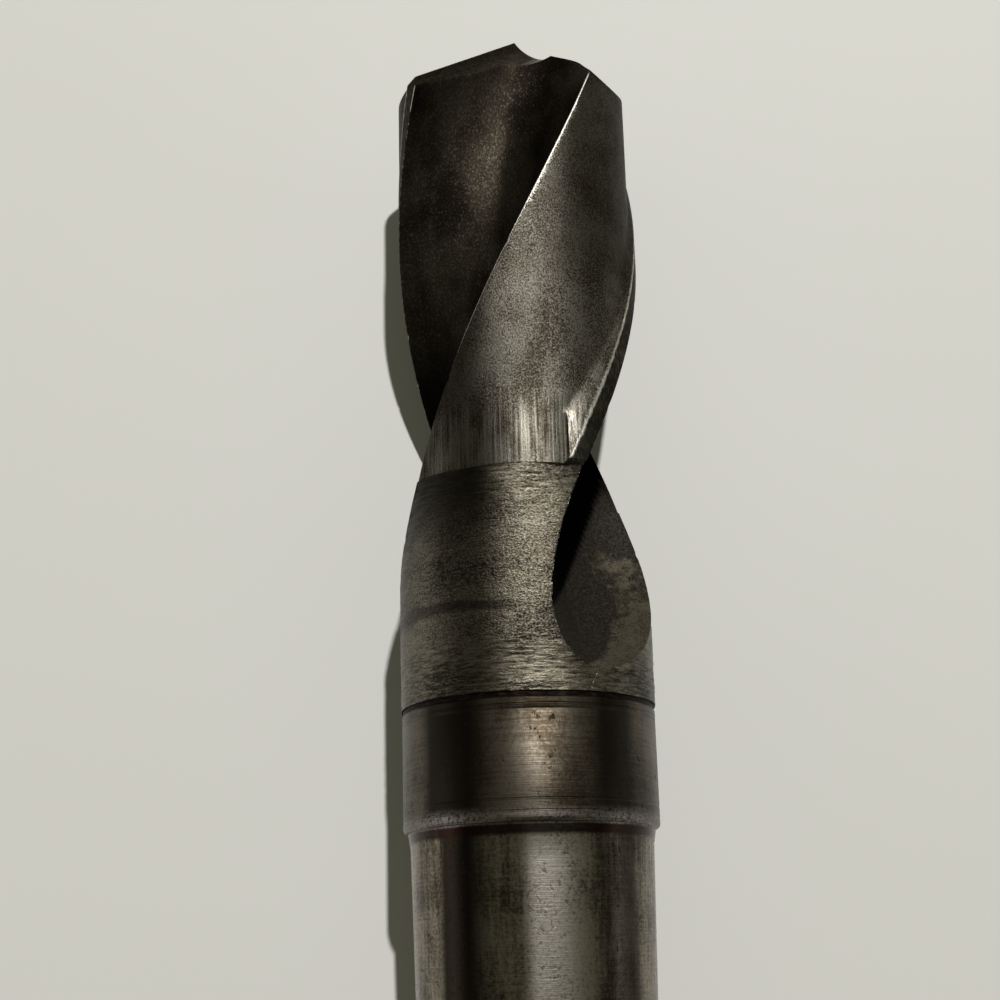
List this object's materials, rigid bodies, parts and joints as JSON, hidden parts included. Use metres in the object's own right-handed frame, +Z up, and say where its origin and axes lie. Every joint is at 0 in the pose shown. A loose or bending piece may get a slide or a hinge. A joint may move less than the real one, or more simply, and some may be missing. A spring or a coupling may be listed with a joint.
{
  "type": "twist drill bit",
  "caption": "Short, heavy twist drill bit for metal: helical flutes, thinned point, rough-turned neck, plain band, and a tanged self-holding taper shank.",
  "frame": {"origin": "on the drill's axis, at the gauge line of the shank's taper, 4.7625 mm behind the shoulder under the band", "axes": "+Y along the axis towards the point, -Y towards the tang; +Z up, away from the surface it lies on, square to the tang's flats; +X to the right"},
  "size_m": [0.0262, 0.1856, 0.0256],
  "materials": {
    "high_speed_steel": "dark worn oxide with ground lands",
    "weld_metal": "dark, slightly rough",
    "shank_steel": "dark worn oxide with turning marks"
  },
  "bodies": {
    "root": {"fluted_body": "high_speed_steel", "weld_seam": "weld_metal", "taper_shank": "shank_steel"}
  },
  "joints": []
}
